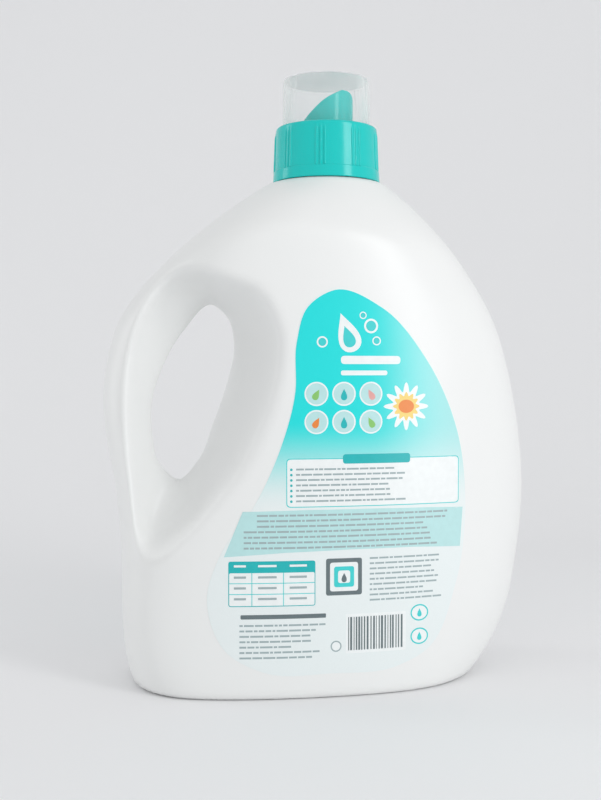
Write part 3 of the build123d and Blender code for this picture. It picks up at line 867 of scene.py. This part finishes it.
class BOTTLE_OT_closure(bpy.types.Operator):
    """Turns the ribbed collar and the drip-back pouring insert"""
    bl_idname = "bottle.closure"
    bl_label = "Collar and pouring insert"

    def execute(self, context):
        closure = context.scene.bottle_closure
        teal = moulded_polypropylene(closure.teal)
        low, high = COLLAR_LOW.z / MM, COLLAR_HIGH.z / MM
        band, shoulder, groups, pitch = low + BAND_HEIGHT, NECK_TOP + FLANGE, RIB_GROUPS, RIB_PITCH
        middles = np.radians(RIB_TURN + 360 / groups * np.arange(groups))[:,
                                                                          None] + np.array([-1, 0,
                                                                                            1]) * pitch / GRIP_RADIUS
        flank = np.array([-0.85, -0.6, -0.45, -0.25, 0.0, 0.25, 0.45, 0.6, 0.85]) / GRIP_RADIUS
        plain = np.radians(RIB_TURN + 360 / groups * (np.arange(groups)[:, None] + np.linspace(0.18, 0.82,
                                                                                               9)))
        angles = np.sort(np.concatenate([(middles.ravel()[:, None] + flank).ravel(), plain.ravel()]))
        corners = [(25.3, low), (27.0, low), (26.7, band), (GRIP_RADIUS, band), (25.5, high), (23.0, high),
                   (23.0, shoulder), (25.3, shoulder)]
        outline = refined(rounded(corners, [0.3, 0.5, 0.4, 0.25, 1.7, 0.5, 0.2, 0.2], 5), 1.6)

        def ribbed(radius, height, turn):
            """Ribs: proud * bump across each rib, from the band up to their tapered ends."""
            off = np.abs((turn[...,
                               None] - middles.ravel() + math.pi) % (2 * math.pi) - math.pi).min(-1) * GRIP_RADIUS
            across = smooth_step((0.68 - off) / 0.36)
            along = smooth_step((band + 18.9 - height) / 1.0) * (height > band + 0.05)
            outside = radius > 24.6
            return radius + closure.rib_proud / MM * across * along * outside, height

        collar = make("ribbed_collar", *turned(outline, angles, ribbed), [teal])
        placed(weighted(collar), "bottle", "teal_pp", "collar")

        around = np.linspace(0, 2 * math.pi, 160, endpoint=False)
        basin_low, tip, spout_turn = shoulder - BASIN_DEPTH, shoulder + SPOUT_HEIGHT, math.radians(SPOUT_TURN)
        basin = [(BASIN_RADIUS, basin_low), (21.7, basin_low), (21.7, NECK_TOP), (25.0, NECK_TOP),
                 (25.0, shoulder),
                 (BASIN_RADIUS, shoulder)]
        wall = make("pouring_insert", *turned(rounded(basin, [0.4, 0.5, 0.3, 0.4, 0.4, 0.6], 4), around),
                    [teal])

        def slanted(radius, height, turn):
            """Spout rim: an arc that climbs from the low side, a level crest, and a rounded lip."""
            reach = SPOUT_RADIUS * np.cos(turn - spout_turn)
            low_rim = shoulder + 13.6
            climb = through([-15.4, -2.0, 7.4],
                            np.array([[low_rim - 2], [low_rim + 0.67 * (tip - low_rim)], [tip]]),
                            np.minimum(reach, 7.4))[..., 0]
            lip = tip - 3.5 + np.sqrt(np.maximum(3.5 ** 2 - np.maximum(reach - 9.9, 0) ** 2, 0))
            rim = np.where(reach > 9.9, lip, climb)
            foot = basin_low - 3.0
            return radius, foot + (height - foot) * (rim - foot) / (tip - foot)

        pipe = [(12.2, basin_low - 3.0), (SPOUT_RADIUS, basin_low - 3.0), (SPOUT_RADIUS, tip), (12.2, tip)]
        spout = make("spout",
                     *turned(refined(rounded(pipe, [0.3, 0.3, 0.55, 0.55], 5), 3.0), around, slanted),
                     [teal])
        tilt = math.radians(6.0)
        level = basin_low + INSERT_WALL + BASIN_RADIUS * math.sin(tilt)

        def tilted(radius, height, turn):
            """Floor that falls towards the drain at the low side of the spout."""
            return radius, height + radius * np.cos(turn - spout_turn) * math.tan(tilt)

        floor = [(12.8, level - INSERT_WALL), (21.0, level - INSERT_WALL), (21.0, level), (12.8, level)]
        ledge = make("floor", *turned(np.array(floor), around, tilted), [teal])
        fused(wall, [ledge, spout], "UNION")
        # drain: a slot through the low side of the spout, just over the floor
        far, across = np.array([math.cos(spout_turn),
                                math.sin(spout_turn)]), np.array([-math.sin(spout_turn),
                                                                  math.cos(spout_turn)])
        base = level - SPOUT_RADIUS * math.tan(tilt)
        ends = [(-15.5 * far + s * 2.5 * across, -10.5 * far + s * 2.5 * across) for s in (-1, 1)]
        plan = np.array([ends[0][0], ends[0][1], ends[1][1], ends[1][0]]) + (NECK_X, 0)
        slot_points = np.vstack([np.column_stack([plan, np.full(4, base)]),
                                 np.column_stack([plan, np.full(4, base + DRAIN_HEIGHT)])])
        slot_faces = np.vstack([knit(2, 4, False, True), [[3, 2, 1, 0], [4, 5, 6, 7]]])
        slot = make("drain", slot_points, outward(slot_points, slot_faces), [teal])
        fused(wall, [slot], "DIFFERENCE")
        placed(weighted(wall), "bottle", "teal_pp", "pour_spout")
        return {"FINISHED"}


class BOTTLE_OT_cup(bpy.types.Operator):
    """Turns the clear fluted dosing cup and its foam seal"""
    bl_idname = "bottle.cup"
    bl_label = "Dosing cup and seal"

    def execute(self, context):
        clear = clear_polypropylene(context.scene.bottle_closure.clear)
        mouth, end = CUP_LOW.z / MM, CUP_HIGH.z / MM
        step = 36.0 / 60
        groove = np.arange(-7.2, 7.21, step)
        angles = np.radians(FLUTE_TURN + (36.0 * np.arange(10)[:, None] + np.concatenate(
            [groove, np.linspace(8.4, 27.6, 14)])).ravel())
        corners = [(0, mouth + CUP_DEPTH), (20.3, mouth + CUP_DEPTH), (20.7, mouth), (CUP_MOUTH, mouth),
                   (CUP_END, end), (0, end)]
        body = rounded(corners[1:5], [1.1, 0.35, 0.35, 1.5], 6)
        outline = refined(np.vstack([[0.001, mouth + CUP_DEPTH], body, [0.001, end]]), 1.0)
        closing = np.flatnonzero((np.abs(outline[:, 0] - 0.001) < 1e-6) & (outline[:, 1] > end - 1e-6))[0]
        outline = outline[:closing + 1]
        outline[0, 0] = outline[-1, 0] = 0.0
        points, faces = plugged(outline, angles)
        x, y, z = (points - (NECK_X, 0, 0)).T
        radius, turn = np.hypot(x, y), np.arctan2(y, x)
        # flute: the near side of a circle that grows from 0.9 to 4.4 mm as it nears the closed end
        share = np.clip((z - (end - 12.0)) / 12.0, 0, 1)
        centre, bend = 22.7 + 2.6 * share, 0.9 + 3.5 * share
        off = (turn - math.radians(FLUTE_TURN) + math.radians(FLUTE_STEP / 2)) % math.radians(FLUTE_STEP) - math.radians(FLUTE_STEP / 2)
        hit = bend ** 2 - (centre * np.sin(off)) ** 2
        groove_at = centre * np.cos(off) - np.sqrt(np.maximum(hit, 0))
        open_side = np.where((hit > 0) & (share > 0), groove_at, 99.0)
        wanted = -blended_max(-radius, -open_side, 0.35)
        pressed = np.where((radius > 20.9), np.minimum(wanted, radius), radius)
        scale = pressed / np.maximum(radius, 1e-6)
        scale[radius < 1e-6] = 1.0
        cup = make("dosing_cup", np.stack([NECK_X + x * scale, y * scale, z], -1), faces, [clear],
                   crisp=60.0)
        placed(weighted(cup), "cup", "clear_pp", "measuring_cup")

        low, high = (corner.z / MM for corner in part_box("cup_seal"))
        ring = rounded([(20.4, low), (22.5, low), (22.5, high), (20.4, high)], 0.25, 4)
        around = np.linspace(0, 2 * math.pi, 120, endpoint=False)
        seal = make("foam_seal", *turned(ring, around), [foamed_polyethylene()])
        placed(weighted(seal), "seal", "seal_foam", "cup_seal")
        return {"FINISHED"}


class BOTTLE_OT_studio(bpy.types.Operator):
    """Lays the paper sweep, two softboxes and the camera"""
    bl_idname = "bottle.studio"
    bl_label = "Paper sweep, lights and camera"

    def execute(self, context):
        scene, studio = context.scene, context.scene.bottle_studio
        scene.view_settings.view_transform = "Standard"
        forward = np.array([math.sin(math.radians(11.5)), math.cos(math.radians(11.5))])
        right = np.array([forward[1], -forward[0]])
        # sweep: floor, then a quarter circle of 500 mm, then a wall, carried across the view
        bend = np.linspace(0, math.pi / 2, 33)
        depth = np.concatenate([[-1600.0, -600.0, 0.0], 400 + 500 * np.sin(bend), [900.0]])
        height = np.concatenate([[0.0, 0.0, 0.0], 500 - 500 * np.cos(bend), [2400.0]])
        across = np.linspace(-2200.0, 2200.0, 23)
        plan = depth[:, None, None] * forward + across[None, :, None] * right
        points = np.concatenate([plan, np.broadcast_to(height[:, None, None], plan.shape[:2] + (1,))], -1)
        faces = knit(len(depth), len(across), False, False)[:, ::-1]
        material, tree, shader, place = surface("matt paper sweep", {"Roughness": 0.9})
        # fibres of 2 mm, barely there
        fibre = add(tree, "ShaderNodeTexNoise", {"Vector": place, "Scale": 500.0})
        tone = add(tree, "ShaderNodeMapRange", {"Value": fibre.outputs[0], "To Min": 0.99, "To Max": 1.0})
        paper = add(tree, "ShaderNodeMix", {0: 1.0, 6: (*studio.paper, 1), 7: tone.outputs[0]},
                    data_type="RGBA",
                    blend_type="MULTIPLY")
        tree.links.new(paper.outputs[2], shader.inputs["Base Color"])
        sweep = make("paper_sweep", points.reshape(-1, 3), faces, [material])

        world = scene.world or bpy.data.worlds.new("soft room")
        scene.world = world
        world.use_nodes = True
        sky = world.node_tree.nodes["Background"]
        sky.inputs["Color"].default_value = (*linear("#FAFBFC"), 1)
        sky.inputs["Strength"].default_value = studio.ambient

        target = np.array([NECK_X, 0.0, 170.0])
        for name, turn, wide, tall, power, away, rise in (
                ("key softbox", 45.0, 0.22, 0.8, studio.key, 900.0, 420.0),
                ("fill softbox", -100.0, 0.25, 0.8, studio.fill, 950.0, 380.0)):
            angle = math.radians(turn)
            flat = -math.cos(angle) * forward + math.sin(angle) * right
            spot = np.array([target[0] + away * flat[0], away * flat[1], rise])
            data = bpy.data.lights.new(name, "AREA")
            data.shape, data.size, data.size_y, data.energy = "RECTANGLE", wide, tall, power
            lamp = bpy.data.objects.new(name, data)
            aim = target - spot
            aim /= np.linalg.norm(aim)
            lamp.location = spot * MM
            lamp.rotation_euler = (math.acos(-aim[2]), 0, math.atan2(aim[1], aim[0]) - math.pi / 2)
            scene.collection.objects.link(lamp)

        camera = bpy.data.objects.new("camera", bpy.data.cameras.new("camera"))
        camera.data.lens, camera.data.sensor_width = 51.75, 36.0
        camera.data.clip_start, camera.data.clip_end = 0.01, 20.0
        camera.location = (-0.1247, -0.5706, 0.153)
        # it looks 11.5 degrees to the right and 1.5 degrees down
        camera.rotation_euler = (math.radians(90 - 1.49), 0.0, math.radians(-11.5))
        scene.collection.objects.link(camera)
        scene.camera = camera
        return {"FINISHED"}


class BOTTLE_PT_panel(bpy.types.Panel):
    """Lists the bottle's settings and the steps that build it"""
    bl_idname = "BOTTLE_PT_panel"
    bl_label = "Detergent bottle"
    bl_space_type = "VIEW_3D"
    bl_region_type = "UI"
    bl_category = "Bottle"

    def draw(self, context):
        for group in GROUPS:
            box = self.layout.box()
            settings = getattr(context.scene, group)
            for name in settings.bl_rna.properties.keys():
                if name not in ("rna_type", "name"):
                    box.prop(settings, name)
        for operator in STEPS:
            self.layout.operator(operator.bl_idname)


GROUPS = {"bottle_shell": ShellSettings, "bottle_closure": ClosureSettings, "bottle_label": LabelSettings,
          "bottle_studio": StudioSettings}
STEPS = (BOTTLE_OT_studio, BOTTLE_OT_shell, BOTTLE_OT_labels, BOTTLE_OT_closure, BOTTLE_OT_cup)


def register():
    for group, settings in GROUPS.items():
        bpy.utils.register_class(settings)
        setattr(bpy.types.Scene, group, PointerProperty(type=settings))
    for step in (*STEPS, BOTTLE_PT_panel):
        bpy.utils.register_class(step)


def unregister():
    for step in reversed((*STEPS, BOTTLE_PT_panel)):
        bpy.utils.unregister_class(step)
    for group, settings in GROUPS.items():
        delattr(bpy.types.Scene, group)
        bpy.utils.unregister_class(settings)


def main():
    register()
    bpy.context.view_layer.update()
    for step in STEPS:
        group, name = step.bl_idname.split(".")
        getattr(getattr(bpy.ops, group), name)()
    bpy.context.view_layer.update()


if __name__ == "__main__":
    main()
